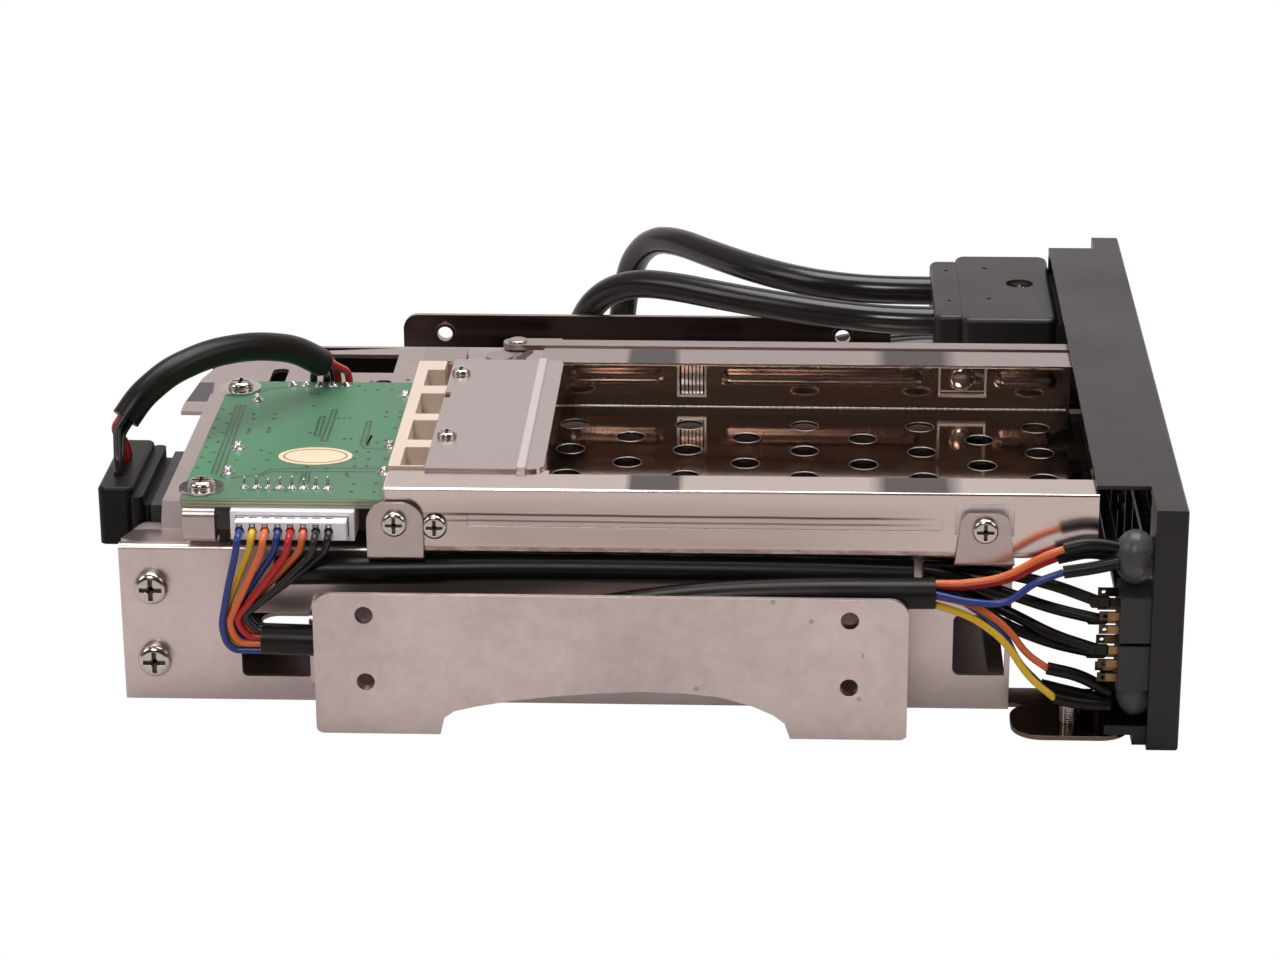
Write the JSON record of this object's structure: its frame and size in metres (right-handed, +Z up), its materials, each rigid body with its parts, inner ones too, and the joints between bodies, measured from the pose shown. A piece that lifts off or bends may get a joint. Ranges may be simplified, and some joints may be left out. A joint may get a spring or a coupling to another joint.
{
  "type": "hot swap drive cage",
  "caption": "Two-bay hot swap drive cage for a 5.25 in bay: bezel with hinged eject doors, sheet steel cages, backplane boards, power buttons and front USB sockets",
  "frame": {"origin": "centre of the cage's plan on the plane it stands on, free leads left out", "axes": "+X forward, out of the bezel and the drive doors; +Y to the side with the USB sockets and the hinges; +Z up"},
  "size_m": [0.1806, 0.203, 0.0526],
  "materials": {
    "black_plastic": "fine textured moulding",
    "bright_plate": "bright nickel-tin plated sheet",
    "satin_steel": "satin galvanised sheet",
    "screw_plate": "nickel plated",
    "board_green": "solder mask over glass laminate",
    "solder": "tin solder",
    "contact_gold": "gold plated",
    "switch_brass": "bare brass",
    "ivory_plastic": "unfilled nylon",
    "cream_label": "paper label",
    "grey_plastic": "moulded",
    "lamp_lens": "clear lens",
    "clear_glue": "clear hot-melt adhesive",
    "sleeve_black": "PVC jacket",
    "wire_black": "PVC insulation",
    "wire_blue": "PVC insulation",
    "wire_orange": "PVC insulation",
    "wire_red": "PVC insulation",
    "wire_yellow": "PVC insulation"
  },
  "bodies": {
    "chassis": {"backplane_brackets": "satin_steel", "backplane_sockets": "grey_plastic", "bezel": "black_plastic", "bezel_screws": "screw_plate", "board_screws": "screw_plate", "cage_25_far_wall": "bright_plate", "cage_25_floor": "bright_plate", "cage_25_near_wall": "bright_plate", "cage_35_far_wall": "satin_steel", "cage_35_floor": "satin_steel", "cage_35_near_wall": "satin_steel", "cage_35_top": "bright_plate", "cage_screws": "screw_plate", "case_screws": "screw_plate", "connector_25": "ivory_plastic", "connector_35": "ivory_plastic", "connector_cover": "bright_plate", "door_hinge_pins": "satin_steel", "front_lead_sleeves": "sleeve_black", "glue_blobs": "clear_glue", "harness_header": "ivory_plastic", "harness_plug": "ivory_plastic", "harness_sleeve_lower": "sleeve_black", "harness_sleeve_upper": "sleeve_black", "harness_wires_black": "wire_black", "harness_wires_blue": "wire_blue", "harness_wires_orange": "wire_orange", "harness_wires_red": "wire_red", "harness_wires_yellow": "wire_yellow", "indicator_lamps": "lamp_lens", "inspection_sticker": "cream_label", "lever_pivots": "satin_steel", "lower_board": "board_green", "power_lead_sleeve": "sleeve_black", "power_plug": "black_plastic", "power_wires_black": "wire_black", "power_wires_red": "wire_red", "side_rail_far": "satin_steel", "side_rail_near": "satin_steel", "signal_contacts": "contact_gold", "solder_joints": "solder", "switch_bodies": "grey_plastic", "switch_terminals": "switch_brass", "upper_board": "board_green", "usb_header_plug": "grey_plastic", "usb_housing": "black_plastic", "usb_lead_inner": "sleeve_black", "usb_lead_outer": "sleeve_black", "usb_shells": "satin_steel", "usb_tongues": "grey_plastic"},
    "door_35": {"door_35": "black_plastic"},
    "door_25": {"door_25": "black_plastic"},
    "rod_35": {"eject_rod_35": "satin_steel", "eject_rivet_35": "satin_steel"},
    "rod_25": {"eject_rod_25": "satin_steel", "eject_rivet_25": "satin_steel"},
    "lever_35": {"eject_lever_35": "satin_steel"},
    "lever_25": {"eject_lever_25": "satin_steel"},
    "button_35": {"power_button_35": "black_plastic"},
    "button_25": {"power_button_25": "black_plastic"}
  },
  "joints": [
    {"name": "door_35_hinge", "type": "hinge", "parent": "chassis", "child": "door_35", "pos_m": [0.08855, 0.0455, 0.015], "axis": [0, 0, 1], "range_deg": [0, 95]},
    {"name": "door_25_hinge", "type": "hinge", "parent": "chassis", "child": "door_25", "pos_m": [0.08855, 0.008, 0.035], "axis": [0, 0, 1], "range_deg": [0, 95]},
    {"name": "eject_rod_35_slide", "type": "slide", "parent": "chassis", "child": "rod_35", "axis": [-1, 0, 0], "range_m": [0, 0.0059]},
    {"name": "eject_rod_25_slide", "type": "slide", "parent": "chassis", "child": "rod_25", "axis": [-1, 0, 0], "range_m": [0, 0.0059]},
    {"name": "eject_lever_35_pivot", "type": "hinge", "parent": "chassis", "child": "lever_35", "pos_m": [-0.0601, 0.0449, 0.013], "axis": [0, 0, 1], "range_deg": [0, 51]},
    {"name": "eject_lever_25_pivot", "type": "hinge", "parent": "chassis", "child": "lever_25", "pos_m": [-0.0263, 0.0043, 0.039], "axis": [0, 0, 1], "range_deg": [0, 51]},
    {"name": "power_button_35_press", "type": "slide", "parent": "chassis", "child": "button_35", "axis": [-1, 0, 0], "range_m": [0, 0.001], "stiffness_N_per_m": 300},
    {"name": "power_button_25_press", "type": "slide", "parent": "chassis", "child": "button_25", "axis": [-1, 0, 0], "range_m": [0, 0.001], "stiffness_N_per_m": 300}
  ],
  "couplings": [
    {"joint": "eject_rod_35_slide", "follows": "door_35_hinge", "m_per_rad": 0.0035},
    {"joint": "eject_rod_25_slide", "follows": "door_25_hinge", "m_per_rad": 0.0035},
    {"joint": "eject_lever_35_pivot", "follows": "door_35_hinge", "ratio": 0.5278},
    {"joint": "eject_lever_25_pivot", "follows": "door_25_hinge", "ratio": 0.5278}
  ]
}
